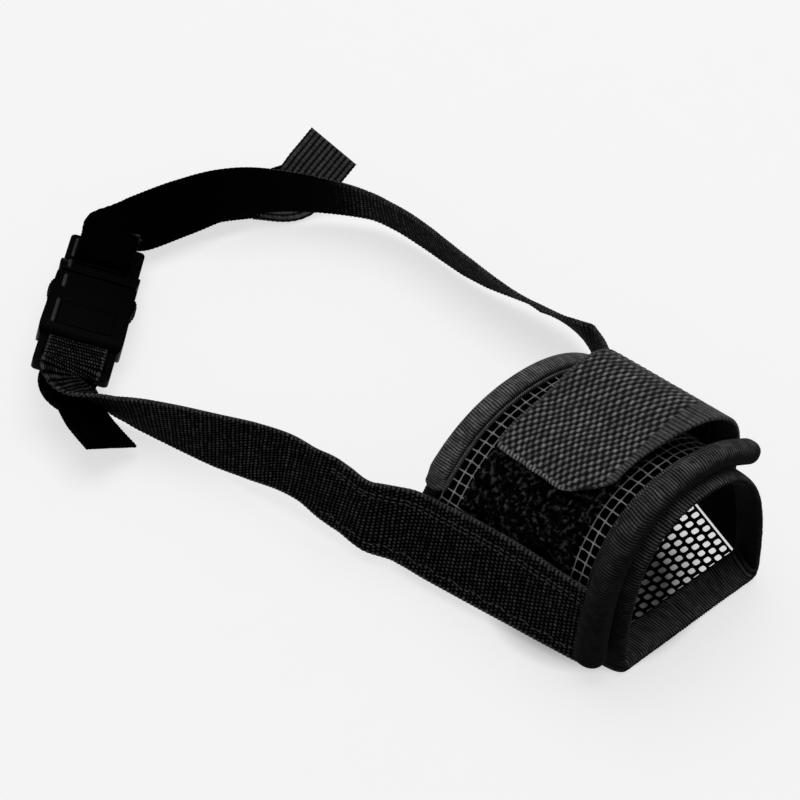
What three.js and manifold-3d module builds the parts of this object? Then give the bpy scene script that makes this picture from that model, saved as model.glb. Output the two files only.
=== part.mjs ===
// Soft dog muzzle: a D-shaped nose tube of net, closed over the top by a hook-and-loop flap, on a
// neck loop of webbing with a side-release buckle. Millimetres; +X points out of the nose, +Y is
// the wearer's left, +Z is up. The origin is the middle of the chin panel's flat underside.

import * as THREE from 'three';
import { mergeVertices } from 'three/addons/utils/BufferGeometryUtils.js';
import Module from 'manifold-3d';

const GAP = 0.3;

// The nose tube: half sections at its two ends, as the points of one cubic curve from foot to crown.
const TUBE_REAR = { x: -38, foot: 50, side: [40, 22], shoulder: [28, 45], crown: 45 };
const TUBE_FRONT = { x: 42, foot: 29.5, side: [30, 31], shoulder: [26, 58.5], crown: 58.5 };

// Cloth thicknesses, and the height of each layer over the surface of the nose tube.
const NET = 1.2;
const OUTER_NET_LIFT = 1.8;
const LOOP_LIFT = 3.3;
const HOOK_LIFT = 4.6;
const FLEECE = 1.0;
const FLAP_LIFT = 5.9;
const FLAP_THICK = 1.6;
const WEBBING_THICK = 1.4;

// Where the cloth pieces start and end along the nose.
const BODY_REAR = -31.9;
const BODY_FRONT = 31.3;
const REAR_EDGE = -37.5;
const OUTER_REAR = -29.8;
const OUTER_FRONT = 28.2;
const RING_REAR = 31.6;
const RING_FRONT = 43.5;
const FLAP_REAR = -21;
const FLAP_FRONT = 22;
const PATCH_REAR = -20;
const PATCH_FRONT = 20;

// Where they start and end across the arch: -1 is the right foot, 0 the crown, 1 the left foot.
const RIGHT_FOOT = -1;
const LEFT_FOOT = 1;
const WEBBING_TOP = 0.55;
const OUTER_LEFT = 0.36;
const ROLL_LEFT = 0.48;
const FLAP_ROOT = 0.545;
const FLAP_END = -0.31;
const PATCH_TOP = 0.02;
const HOOK_TOP = -0.06;

const ROOT_LIFT = 1.6;
const ROLL_FRONT = 41;
const ROLL_FOOT = -0.925;
const FINGER_START = 0.2;
const FINGER_LENGTH = 12;
const CHIN_MARGIN = 1.1;
const FLAP_BULGE_REAR = 8.5;
const FLAP_BULGE_FRONT = 8.5;
// Where the flap's bulge starts, and where it begins to drop towards its root.
const FLAP_BULGE_START = -0.1;
const FLAP_DROP_START = 0.1;
// How much farther forward the flap reaches over the far shoulder than at its free end.
const FLAP_FLARE = 7.5;
const FLAP_FLARE_FROM = -0.1;
const FLAP_FLARE_TO = 0.25;
const HOOK_MARGIN = 0.03;

// Share of a closed edge's turn that is arch, and how far down the arch it goes before the chin.
const EDGE_ARCH_SHARE = 0.7;
const EDGE_ARCH_END = 0.94;
// How far the closed edge's inner and outer faces stand from the foot line where it meets the chin.
const EDGE_CORNER_INNER = -3.4;
const EDGE_CORNER_OUTER = 1.4;

// Webbing and the neck loop.
const SIDE_WIDTH = 30;
const SIDE_NARROWING = 7;
const STRAP_WIDTH = 20;
const SIDE_MIDDLE = 16.3;
// Towards the rear the side webbings run lower and narrower, and they lie this much clear of the net.
const SIDE_DROP = 0.062;
const SIDE_NARROWING_START = 0.2;
const SIDE_SLACK = 0.2;
const SIDE_LEFT_END = -41;
const SWING_X = -57.5;
const SWING_Y = 55.8;
const SWING_CLEARANCE = 2.6;
const LOOP_CENTRE = new THREE.Vector3(-120, -12, 0);
// The folded tab at the loose end of the left strap stands up behind the loop, its face to the nose.
const TAB_WIDTH_WAY = new THREE.Vector3(-0.847, -0.306, 0.431);

// The buckle: its middle, the plan direction from its male to its female half, and its tilt.
const BUCKLE_MIDDLE = new THREE.Vector3(-184.6, -58.6, 10);
const BUCKLE_AXIS = new THREE.Vector3(0.66, -0.75, 0).normalize();
const BUCKLE_TILT = 75;
const BUCKLE_WIDTH = 29;
const BUCKLE_THICK = 9;
const BUCKLE_HALF = 32;
const MOUTH = -11;
const HOUSING_END = 18;
const SLOT_WIDTH = 22;
const WINDOW_REAR = -8;
const WINDOW_FRONT = 1.5;
const ARM_ROOT = -10.6;

const manifoldLibrary = await Module();
manifoldLibrary.setup();

// ---- shared tools ----

function signedVolume(geometry) {
  const points = geometry.getAttribute('position');
  const index = geometry.getIndex();
  const a = new THREE.Vector3();
  const b = new THREE.Vector3();
  const c = new THREE.Vector3();
  let sum = 0;
  for (let i = 0; i < index.count; i += 3) {
    a.fromBufferAttribute(points, index.getX(i));
    b.fromBufferAttribute(points, index.getX(i + 1));
    c.fromBufferAttribute(points, index.getX(i + 2));
    sum += a.dot(b.cross(c)) / 6;
  }
  return sum;
}

function weld(geometry) {
  geometry.deleteAttribute('normal');
  geometry.deleteAttribute('uv');
  const welded = mergeVertices(geometry, 1e-4);
  if (signedVolume(welded) < 0) {
    const index = welded.getIndex();
    for (let i = 0; i < index.count; i += 3) {
      const first = index.getX(i);
      index.setX(i, index.getX(i + 1));
      index.setX(i + 1, first);
    }
  }
  return welded;
}

function bend(geometry, place) {
  const points = geometry.getAttribute('position');
  for (let i = 0; i < points.count; i += 1) {
    const moved = place(points.getX(i), points.getY(i), points.getZ(i));
    points.setXYZ(i, moved.x, moved.y, moved.z);
  }
  return weld(geometry);
}

function mix(from, to, share) {
  return from + (to - from) * share;
}

function toSolid(geometry) {
  const vertProperties = new Float32Array(geometry.getAttribute('position').array);
  const triVerts = new Uint32Array(geometry.getIndex().array);
  const mesh = new manifoldLibrary.Mesh({ numProp: 3, vertProperties, triVerts });
  return new manifoldLibrary.Manifold(mesh);
}

function toGeometry(solid) {
  const mesh = solid.getMesh();
  const geometry = new THREE.BufferGeometry();
  geometry.setAttribute('position', new THREE.BufferAttribute(mesh.vertProperties, 3));
  geometry.setIndex(new THREE.BufferAttribute(mesh.triVerts, 1));
  return geometry;
}

// ---- the surface of the nose tube ----

const archCache = new Map();

function halfArch(x) {
  if (!archCache.has(x)) {
    const share = (x - TUBE_REAR.x) / (TUBE_FRONT.x - TUBE_REAR.x);
    const between = (pick) => mix(pick(TUBE_REAR), pick(TUBE_FRONT), share);
    archCache.set(x, new THREE.CubicBezierCurve(
      new THREE.Vector2(between((end) => end.foot), 0),
      new THREE.Vector2(between((end) => end.side[0]), between((end) => end.side[1])),
      new THREE.Vector2(between((end) => end.shoulder[0]), between((end) => end.shoulder[1])),
      new THREE.Vector2(0, between((end) => end.crown)),
    ));
  }
  return archCache.get(x);
}

function footAt(x) {
  return halfArch(x).getPoint(0).x;
}

function onArch(x, across, lift) {
  const along = 1 - Math.abs(across);
  const point = halfArch(x).getPointAt(along);
  const atCrown = Math.abs(across) < 1e-6;
  const tangent = atCrown ? new THREE.Vector2(-1, 0) : halfArch(x).getTangentAt(along);
  const side = across < 0 ? -1 : 1;
  return new THREE.Vector3(x, side * (point.x + tangent.y * lift), point.y - tangent.x * lift);
}

// The place that is `height` millimetres up the arch from a foot.
function acrossAt(x, height, side) {
  return side * (1 - height / halfArch(x).getLength());
}

// A cloth layer on the arch: x from rear to front, across from one edge to the other.
function layer({ rear, front, start, end, lift, thick, steps }) {
  const liftAt = typeof lift === 'function' ? lift : () => lift;
  const frontAt = typeof front === 'function' ? front : () => front;
  const box = new THREE.BoxGeometry(1, 1, 1, 6, steps, 1);
  return bend(box, (u, v, w) => {
    const across = mix(start, end, v + 0.5);
    const x = mix(rear, frontAt(across), u + 0.5);
    return onArch(x, across, liftAt(across, x) + thick * (w + 0.5));
  });
}

// ---- webbing: a flat band through hand-placed points, each with the direction of its width ----

function band(stations, width, thick, steps) {
  const widthAt = typeof width === 'function' ? width : () => width;
  const route = new THREE.CatmullRomCurve3(stations.map((station) => station.at));
  const stationCount = stations.length - 1;
  const box = new THREE.BoxGeometry(1, 1, 1, steps, 2, 1);
  return bend(box, (u, v, w) => {
    const share = Math.min(Math.max(u + 0.5, 0), 1);
    const along = share * stationCount;
    const before = Math.min(Math.floor(along), stationCount - 1);
    const widthWay = stations[before].up.clone().lerp(stations[before + 1].up, along - before);
    const tangent = route.getTangent(share);
    widthWay.addScaledVector(tangent, -widthWay.dot(tangent)).normalize();
    const faceWay = tangent.clone().cross(widthWay);
    const place = route.getPoint(share).addScaledVector(widthWay, v * widthAt(share));
    return place.addScaledVector(faceWay, w * thick);
  });
}

// A station of the neck loop; lean tips its upper edge away from the middle of the loop, in degrees.
function station(x, y, z, lean) {
  const at = new THREE.Vector3(x, y, z);
  const outward = at.clone().sub(LOOP_CENTRE).setZ(0).normalize();
  const angle = THREE.MathUtils.degToRad(lean);
  const up = new THREE.Vector3(0, 0, Math.cos(angle)).addScaledVector(outward, Math.sin(angle));
  return { at, up };
}

// A station of a side webbing, lying on the nose tube.
function sideStation(x, side, lift) {
  const height = SIDE_MIDDLE - Math.max(0, -x) * SIDE_DROP;
  const across = acrossAt(x, height, side);
  const at = onArch(x, across, lift);
  const up = onArch(x, across - side * 0.02, lift).sub(at).normalize();
  return { at, up };
}

// ---- the buckle's own frame: along the strap, across it, and outward from the wearer ----

const tilt = THREE.MathUtils.degToRad(BUCKLE_TILT);
const buckleOutward = new THREE.Vector3(0, 0, 1).cross(BUCKLE_AXIS).negate();
const buckleAcross = new THREE.Vector3(0, 0, Math.cos(tilt)).addScaledVector(buckleOutward, Math.sin(tilt));
const buckleFace = BUCKLE_AXIS.clone().cross(buckleAcross);
const buckleFrame = new THREE.Matrix4()
  .makeBasis(BUCKLE_AXIS, buckleAcross, buckleFace)
  .setPosition(BUCKLE_MIDDLE);

function onBuckle(along, across, out) {
  return new THREE.Vector3(along, across, out).applyMatrix4(buckleFrame);
}

function buckleStation(along, out) {
  return { at: onBuckle(along, 0, out), up: buckleAcross };
}

// ---- cloth pieces of the nose tube ----

function chinPanel() {
  const box = new THREE.BoxGeometry(1, 1, 1, 6, 4, 1);
  return bend(box, (u, v, w) => {
    const x = mix(BODY_REAR, BODY_FRONT, u + 0.5);
    return new THREE.Vector3(x, 2 * v * (footAt(x) - CHIN_MARGIN), NET * (w + 0.5));
  });
}

function innerNetPanel() {
  return layer({
    rear: BODY_REAR, front: BODY_FRONT, start: RIGHT_FOOT, end: LEFT_FOOT, lift: 0, thick: NET, steps: 28,
  });
}

function outerNetPanel() {
  return layer({
    rear: OUTER_REAR, front: OUTER_FRONT, start: RIGHT_FOOT, end: OUTER_LEFT, lift: OUTER_NET_LIFT,
    thick: NET, steps: 24,
  });
}

// A bound edge that runs all the way round the tube, chin included, as a flattened round section.
function closedEdge(rear, front, lowest, highest) {
  const torus = new THREE.TorusGeometry(2, 1, 8, 44);
  const square = (value) => Math.sign(value) * Math.min(1, Math.abs(value) * 1.3);
  return bend(torus, (a, b, c) => {
    const turn = Math.atan2(b, a) / Math.PI;
    const outerness = (square(Math.hypot(a, b) - 2) + 1) / 2;
    const x = mix(rear, front, (square(c) + 1) / 2);
    if (Math.abs(turn) <= EDGE_ARCH_SHARE) {
      const across = (turn / EDGE_ARCH_SHARE) * EDGE_ARCH_END;
      return onArch(x, across, mix(lowest, highest, outerness));
    }
    const share = (1 - Math.abs(turn)) / (1 - EDGE_ARCH_SHARE);
    const corner = footAt(x) + mix(EDGE_CORNER_INNER, EDGE_CORNER_OUTER, outerness);
    return new THREE.Vector3(x, Math.sign(turn) * corner * share, (highest - lowest) * (1 - outerness));
  });
}

// A bound edge along one edge of a layer, with a round section; it can run on straight past the arch.
function roll({ rear, front, low, high, start, end, straight = 0, steps }) {
  const rod = new THREE.CylinderGeometry(1, 1, 1, 10, steps);
  const middle = (rear + front) / 2;
  const archLength = Math.abs(end - start) * halfArch(middle).getLength();
  const archShare = archLength / (archLength + straight);
  return bend(rod, (a, b, c) => {
    const share = b + 0.5;
    const x = middle + (a * (front - rear)) / 2;
    const lift = mix(low, high, (c + 1) / 2);
    const across = mix(start, end, Math.min(share / archShare, 1));
    const place = onArch(x, across, lift);
    if (share > archShare) {
      const heading = onArch(middle, end + 0.01, 0).sub(onArch(middle, end - 0.01, 0)).normalize();
      place.addScaledVector(heading, (share - archShare) * (archLength + straight));
    }
    return place;
  });
}

function loopPatch() {
  return layer({
    rear: PATCH_REAR, front: PATCH_FRONT, start: -WEBBING_TOP, end: PATCH_TOP, lift: LOOP_LIFT,
    thick: FLEECE, steps: 8,
  });
}

function hookPatch() {
  return layer({
    rear: PATCH_REAR, front: PATCH_FRONT, start: FLAP_END + HOOK_MARGIN, end: HOOK_TOP, lift: HOOK_LIFT,
    thick: FLEECE, steps: 5,
  });
}

// The flap drops from its root on the left webbing's edge to the tube, and rides over the patches.
function closureFlap() {
  const rise = (across, x) => {
    const most = mix(FLAP_BULGE_REAR, FLAP_BULGE_FRONT, (x - FLAP_REAR) / (FLAP_FRONT - FLAP_REAR));
    const swell = THREE.MathUtils.smoothstep(across, FLAP_BULGE_START, FLAP_ROOT);
    const bulge = most * Math.sin(Math.PI * swell);
    return bulge + mix(FLAP_LIFT, ROOT_LIFT, THREE.MathUtils.smoothstep(across, FLAP_DROP_START, FLAP_ROOT));
  };
  const flared = (across) => (
    FLAP_FRONT + FLAP_FLARE * THREE.MathUtils.smoothstep(across, FLAP_FLARE_FROM, FLAP_FLARE_TO)
  );
  return layer({
    rear: FLAP_REAR, front: flared, start: FLAP_END, end: FLAP_ROOT, lift: rise, thick: FLAP_THICK,
    steps: 18,
  });
}

// ---- webbing pieces ----

function sideWebbingRight() {
  const lift = OUTER_NET_LIFT + NET + GAP + WEBBING_THICK / 2 + SIDE_SLACK;
  const stations = [31, 18, 4, -10, -23, -36].map((x) => sideStation(x, -1, lift));
  stations.push(
    station(-47, -53.4, 15.2, -26), station(-57, -54.8, 15.9, -28), station(-66, -55.9, 16.3, -29),
  );
  const narrowing = (share) => (
    SIDE_WIDTH - SIDE_NARROWING * THREE.MathUtils.smoothstep(share, SIDE_NARROWING_START, 1)
  );
  return band(stations, narrowing, WEBBING_THICK, 24);
}

function sideWebbingLeft() {
  const lift = NET + GAP + WEBBING_THICK / 2 + SIDE_SLACK;
  const stations = [31, 18, 4, -10, -23, -33, SIDE_LEFT_END].map((x) => sideStation(x, 1, lift));
  return band(stations, SIDE_WIDTH, WEBBING_THICK, 18);
}

// The fixed start of the left neck strap, from its seam to the line that the strap swings about.
function strapRootLeft() {
  const stations = [
    station(SIDE_LEFT_END - GAP, 51.6, 13.4, -22), station(-48, 54.2, 13.2, -19),
    station(SWING_X + SWING_CLEARANCE, SWING_Y, 13, -16),
  ];
  return band(stations, STRAP_WIDTH, WEBBING_THICK, 6);
}

// The way webbing goes round a ladder bar, from the load strap in to the loose tail out:
// distance along the buckle from its middle, and distance out from the wearer.
const WRAP = [
  [37, -4.7], [31, -4.7], [25, -4.7], [21.6, -4.3], [19.9, -2.4], [19.8, 0.6], [20.8, 2.5],
  [22.8, 2.8], [24.8, 2.4], [26.2, 0.4], [27.4, -1.8], [29.4, -2.9], [32.5, -3.2],
  [36, -3], [40, -2],
];

// The lean of the right strap where it leaves the bar, less than the buckle's own tilt.
const WRAP_END_LEAN = 58;

function wrap(side) {
  return WRAP.map(([along, out]) => buckleStation(side * along, out));
}

function neckStrapRight() {
  const turned = wrap(1);
  const eased = station(-160, -86, 10, WRAP_END_LEAN).up;
  [0, turned.length - 2, turned.length - 1].forEach((i) => { turned[i].up = eased; });
  const stations = [
    station(-66.9, -56, 16.3, -29), station(-80, -57.9, 15.8, -28), station(-93, -61.6, 13.8, -24),
    station(-106, -66.4, 12, -14), station(-118, -70.8, 11, -3), station(-129, -75.4, 10.6, 10),
    station(-139, -80.2, 10.6, 28), station(-150, -85, 11.8, 46),
    ...turned,
    station(-150, -88.4, 9, 56), station(-140, -90.6, 9, 61), station(-128, -92, 9.2, 62),
  ];
  return band(stations, STRAP_WIDTH, WEBBING_THICK, (stations.length - 1) * 3);
}

function neckStrapLeft() {
  const stations = [
    station(SWING_X, SWING_Y, 13, -16), station(-66, 56.2, 12.8, -38), station(-76, 55.9, 12.5, -54),
    station(-87, 54.6, 12, -49), station(-98, 53.1, 11.6, -38), station(-109, 51.9, 11.2, -27),
    station(-120, 51.3, 10.9, -21), station(-130, 51.1, 11, -19), station(-141, 50.4, 11.4, -19),
    station(-150, 48.7, 12.2, -21), station(-159, 45.6, 13.2, -21), station(-174, 35.5, 14.2, -12),
    station(-185.5, 23.5, 15.6, -2), station(-193.5, 9, 17.4, 12), station(-200.5, -6.5, 15, 36),
    station(-207, -22, 12, 60),
    ...wrap(-1),
    station(-211, -19, 6.5, 80), station(-209.5, -5, 5.5, 84), station(-204.5, 9, 6, 84),
    station(-197.5, 22.5, 5.5, 84),
    ...[[-188, 35.4, 7.4], [-187.3, 44, 13], [-187, 53, 19]].map(([x, y, z]) => (
      { at: new THREE.Vector3(x, y, z), up: TAB_WIDTH_WAY }
    )),
  ];
  return band(stations, STRAP_WIDTH, WEBBING_THICK, (stations.length - 1) * 3);
}

// ---- the side-release buckle, modelled in its own frame ----

function slab(shape, thick) {
  const geometry = new THREE.ExtrudeGeometry(shape, { depth: thick, bevelEnabled: false, curveSegments: 6 });
  return weld(geometry.translate(0, 0, -thick / 2));
}

function outlineOf(points) {
  const shape = new THREE.Shape();
  shape.moveTo(points[0][0], points[0][1]);
  points.slice(1).forEach(([a, b, controlA, controlB]) => {
    if (controlA === undefined) shape.lineTo(a, b);
    else shape.quadraticCurveTo(controlA, controlB, a, b);
  });
  shape.closePath();
  return shape;
}

// An outline that is the same on both sides of the strap's middle line.
function mirrored(points) {
  const other = [];
  for (let i = points.length - 1; i >= 0; i -= 1) {
    const next = points[i + 1];
    if (next && next.length === 4) other.push([points[i][0], -points[i][1], next[2], -next[3]]);
    else other.push([points[i][0], -points[i][1]]);
  }
  return outlineOf([...points, ...other]);
}

function block(fromAlong, toAlong, across, thick, middleAcross = 0) {
  const box = new THREE.BoxGeometry(toAlong - fromAlong, across, thick);
  return toSolid(weld(box.translate((fromAlong + toAlong) / 2, middleAcross, 0)));
}

// The body of a half: its plan cut to its side profile, with the two slots of its ladder frame.
function buckleBody(plan, profile) {
  const side = slab(outlineOf(profile), BUCKLE_WIDTH + 6);
  side.rotateX(Math.PI / 2);
  return toSolid(slab(mirrored(plan), BUCKLE_THICK + 2)).intersect(toSolid(side));
}

function withSlots(body, side) {
  const inner = [18.7, 21];
  const outer = [24.2, 28.8];
  let cut = body;
  [inner, outer].forEach(([near, far]) => {
    const from = Math.min(side * near, side * far);
    const to = Math.max(side * near, side * far);
    cut = cut.subtract(block(from, to, SLOT_WIDTH, BUCKLE_THICK + 4));
  });
  return cut;
}

function femaleHalf() {
  const plan = [
    [MOUTH, 13.2], [-9, 14, -10.6, 14], [HOUSING_END - 3, 14.5],
    [HOUSING_END + 1, 13.2, HOUSING_END, 14.5], [BUCKLE_HALF - 2, 13.2],
    [BUCKLE_HALF, 11.2, BUCKLE_HALF, 13.2],
  ];
  const profile = [
    [MOUTH, -4], [-4, -4.5, -8, -4.5], [13, -4.5], [HOUSING_END + 1, -1.7, 17.5, -4.3], [BUCKLE_HALF, -1.7],
    [BUCKLE_HALF, 1.7], [HOUSING_END + 1, 1.7], [13, 4.5, 17.5, 4.3], [-4, 4.5], [MOUTH, 4, -8, 4.5],
  ];
  const pocket = block(MOUTH - 1, 15.5, 25, 6);
  const windows = block(WINDOW_REAR, WINDOW_FRONT, 40, 5.8);
  const body = withSlots(buckleBody(plan, profile), 1);
  return toGeometry(body.subtract(pocket).subtract(windows)).applyMatrix4(buckleFrame);
}

function maleHalf() {
  const plan = [
    [-BUCKLE_HALF, 11.2], [-BUCKLE_HALF + 2, 13.2, -BUCKLE_HALF, 13.2], [-HOUSING_END - 1, 13.2],
    [-HOUSING_END + 1, 14, -HOUSING_END, 14], [MOUTH - 1.2, 13.4, -13.6, 14.2],
  ];
  const profile = [
    [-BUCKLE_HALF, -1.7], [-HOUSING_END - 1, -1.7], [-15, -3.9, -17.5, -3.6], [MOUTH - 0.9, -3.9],
    [MOUTH - 0.9, 3.9], [-15, 3.9], [-HOUSING_END - 1, 1.7, -17.5, 3.6], [-BUCKLE_HALF, 1.7],
  ];
  const tongue = block(MOUTH - 2, 12.5, 6.5, 4.4);
  const rails = block(MOUTH - 2, -4, 12, 4.4);
  const body = withSlots(buckleBody(plan, profile), -1).add(tongue).add(rails);
  return toGeometry(body).applyMatrix4(buckleFrame);
}

// A latch arm: it flexes at its root, its pad fills the housing's window, its tip is free.
function latchArm(side) {
  const arm = [
    [ARM_ROOT, 8.2], [ARM_ROOT, 11.8], [WINDOW_REAR + 0.5, 11.8], [WINDOW_REAR + 0.5, 14.6],
    [WINDOW_FRONT - 1, 14.1, -3.5, 15.4], [WINDOW_FRONT - 0.4, 12], [7.5, 9.6, 4.5, 11.6],
    [9, 7.4, 9.4, 8.6], [5, 6.9], [0.5, 9.2, 1.8, 8.4],
  ].map(([a, b, c, d]) => (c === undefined ? [a, side * b] : [a, side * b, c, side * d]));
  return slab(outlineOf(arm), 4.8).applyMatrix4(buckleFrame);
}

// ---- materials and the assembly ----

function cloth(color, roughness) {
  return () => new THREE.MeshStandardMaterial({ color, roughness, metalness: 0 });
}

const net = cloth(0x121212, 0.9);
const nylon = cloth(0x0e0e0f, 0.85);
const binding = cloth(0x141415, 0.9);
const fleece = cloth(0x0a0a0a, 1);
const plastic = cloth(0x0c0c0d, 0.42);

const muzzle = new THREE.Group();

function piece(name, geometry, material) {
  const mesh = new THREE.Mesh(weld(geometry), material());
  mesh.name = name;
  muzzle.add(mesh);
}

piece('chin_panel', chinPanel(), net);
piece('inner_net_panel', innerNetPanel(), net);
piece('outer_net_panel', outerNetPanel(), net);
piece('nose_ring_binding', closedEdge(RING_REAR, RING_FRONT, -1.5, 1.6), binding);
piece('rear_opening_binding', closedEdge(REAR_EDGE, BODY_REAR - GAP, -1.3, 1.5), binding);
piece('outer_front_binding', roll({
  rear: RING_REAR + 0.4, front: ROLL_FRONT, low: 2.6, high: 10.4, start: ROLL_FOOT, end: FINGER_START,
  straight: FINGER_LENGTH, steps: 26,
}), binding);
piece('front_piping', roll({
  rear: OUTER_FRONT + GAP, front: RING_REAR - GAP, low: 1.8, high: 4.6, start: -WEBBING_TOP, end: OUTER_LEFT,
  steps: 20,
}), binding);
piece('outer_rear_binding', roll({
  rear: REAR_EDGE, front: OUTER_REAR - GAP, low: 1.9, high: 5.4, start: -WEBBING_TOP, end: ROLL_LEFT,
  steps: 22,
}), binding);
piece('loop_patch', loopPatch(), fleece);
piece('hook_patch', hookPatch(), fleece);
piece('closure_flap', closureFlap(), nylon);
piece('side_webbing_right', sideWebbingRight(), nylon);
piece('side_webbing_left', sideWebbingLeft(), nylon);
piece('strap_root_left', strapRootLeft(), nylon);
piece('neck_strap_right', neckStrapRight(), nylon);
piece('neck_strap_left', neckStrapLeft(), nylon);
piece('buckle_female', femaleHalf(), plastic);
piece('buckle_male', maleHalf(), plastic);
piece('latch_arm_outer', latchArm(1), plastic);
piece('latch_arm_inner', latchArm(-1), plastic);

export default muzzle;
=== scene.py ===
"""Looks for the soft dog muzzle: every cloth piece is woven, ribbed, netted or stitched in real
geometry over its CAD solid. Lengths are in millimetres until a mesh is made, and +X is the nose."""

import math

import bmesh
import bpy
import numpy as np
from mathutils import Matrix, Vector


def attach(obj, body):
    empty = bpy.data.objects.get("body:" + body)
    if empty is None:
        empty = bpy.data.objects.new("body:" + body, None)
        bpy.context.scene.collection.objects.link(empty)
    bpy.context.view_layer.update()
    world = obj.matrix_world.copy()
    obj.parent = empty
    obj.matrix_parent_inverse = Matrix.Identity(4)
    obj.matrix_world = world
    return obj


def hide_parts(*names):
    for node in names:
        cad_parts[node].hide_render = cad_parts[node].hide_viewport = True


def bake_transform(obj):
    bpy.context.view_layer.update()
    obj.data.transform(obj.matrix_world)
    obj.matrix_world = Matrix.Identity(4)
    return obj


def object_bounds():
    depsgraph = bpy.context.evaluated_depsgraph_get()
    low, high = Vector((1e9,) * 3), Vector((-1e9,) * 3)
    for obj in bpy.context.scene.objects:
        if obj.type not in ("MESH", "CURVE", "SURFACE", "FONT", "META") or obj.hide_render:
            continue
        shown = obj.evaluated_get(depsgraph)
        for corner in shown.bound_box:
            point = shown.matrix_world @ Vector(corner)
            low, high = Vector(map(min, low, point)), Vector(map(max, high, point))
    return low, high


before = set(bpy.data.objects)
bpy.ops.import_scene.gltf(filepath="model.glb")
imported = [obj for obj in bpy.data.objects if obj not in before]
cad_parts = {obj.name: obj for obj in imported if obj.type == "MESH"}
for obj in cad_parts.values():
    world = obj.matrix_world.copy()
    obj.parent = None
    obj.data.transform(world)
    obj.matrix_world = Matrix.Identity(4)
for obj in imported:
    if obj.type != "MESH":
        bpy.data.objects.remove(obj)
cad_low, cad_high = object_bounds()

MM = 0.001
TAU = 2 * math.pi
rng = np.random.default_rng(20417)

# ---- the nose tube: half sections at its two ends, as cubic curves from foot to crown ----

TUBE_REAR_X, TUBE_FRONT_X = -38.0, 42.0
TUBE_REAR = np.array([[50, 0], [40, 22], [28, 45], [0, 45]], float)
TUBE_FRONT = np.array([[29.5, 0], [30, 31], [26, 58.5], [0, 58.5]], float)
TABLE_X = np.linspace(-50, 60, 56)
TABLE_STEPS = 400


def read_at(places, run, vectors):
    """The vectors that belong to run, read at other places of it."""
    return np.stack([np.interp(places, run, vectors[:, k]) for k in range(3)], -1)


def section_at(x):
    share = (np.asarray(x, float) - TUBE_REAR_X) / (TUBE_FRONT_X - TUBE_REAR_X)
    return TUBE_REAR + (TUBE_FRONT - TUBE_REAR) * share[..., None, None]


def cubic(c, t):
    t = t[..., None]
    return ((1 - t) ** 3 * c[..., 0, :] + 3 * (1 - t) ** 2 * t * c[..., 1, :]
            + 3 * (1 - t) * t * t * c[..., 2, :] + t ** 3 * c[..., 3, :])


def run_along(points):
    """The distance along a line at each of its points."""
    return np.concatenate([[0], np.cumsum(np.linalg.norm(np.diff(points, axis=0), axis=1))])


def cubic_slope(c, t):
    t = t[..., None]
    return (3 * (1 - t) ** 2 * (c[..., 1, :] - c[..., 0, :]) + 6 * (1 - t) * t * (c[..., 2, :] - c[..., 1, :])
            + 3 * t * t * (c[..., 3, :] - c[..., 2, :]))


def arc_tables():
    """For each x of the table, the curve parameter at equal shares of the half arch's length."""
    t = np.linspace(0, 1, TABLE_STEPS)
    shares, lengths = [], []
    for x in TABLE_X:
        points = cubic(section_at(x)[None], t)
        run = run_along(points)
        shares.append(np.interp(t, run / run[-1], t))
        lengths.append(run[-1])
    return np.array(shares), np.array(lengths)


ARC_SHARE, ARC_LENGTH = arc_tables()


def arch(x, across, lift):
    """Points on the tube: across is -1 at the right foot, 0 at the crown and 1 at the left foot."""
    x, across, lift = np.broadcast_arrays(*(np.asarray(v, float) for v in (x, across, lift)))
    along = np.clip(1 - np.abs(across), 0, 1) * (TABLE_STEPS - 1)
    column = np.clip((x - TABLE_X[0]) / (TABLE_X[1] - TABLE_X[0]), 0, len(TABLE_X) - 1.001)
    i, j = column.astype(int), np.minimum(along.astype(int), TABLE_STEPS - 2)
    fi, fj = column - i, along - j
    t = ((ARC_SHARE[i, j] * (1 - fj) + ARC_SHARE[i, j + 1] * fj) * (1 - fi)
         + (ARC_SHARE[i + 1, j] * (1 - fj) + ARC_SHARE[i + 1, j + 1] * fj) * fi)
    c = section_at(x)
    point, tangent = cubic(c, t), cubic_slope(c, t)
    tangent /= np.linalg.norm(tangent, axis=-1, keepdims=True)
    side = np.where(across < 0, -1.0, 1.0)
    return np.stack([x, side * (point[..., 0] + tangent[..., 1] * lift),
                     point[..., 1] - tangent[..., 0] * lift], -1)


def half_length(x):
    return np.interp(x, TABLE_X, ARC_LENGTH)


def foot_at(x):
    return section_at(np.asarray(x, float))[..., 0, 0]


# ---- making meshes ----

WELD_REACH = 0.004


def show(name, data):
    obj = bpy.data.objects.new(name, data)
    bpy.context.scene.collection.objects.link(obj)
    return obj


def volume(points, quads):
    a, b, c, d = (points[quads[:, k]] for k in range(4))
    return (np.einsum("ij,ij->", a, np.cross(b, c)) + np.einsum("ij,ij->", a, np.cross(c, d))) / 6


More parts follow.
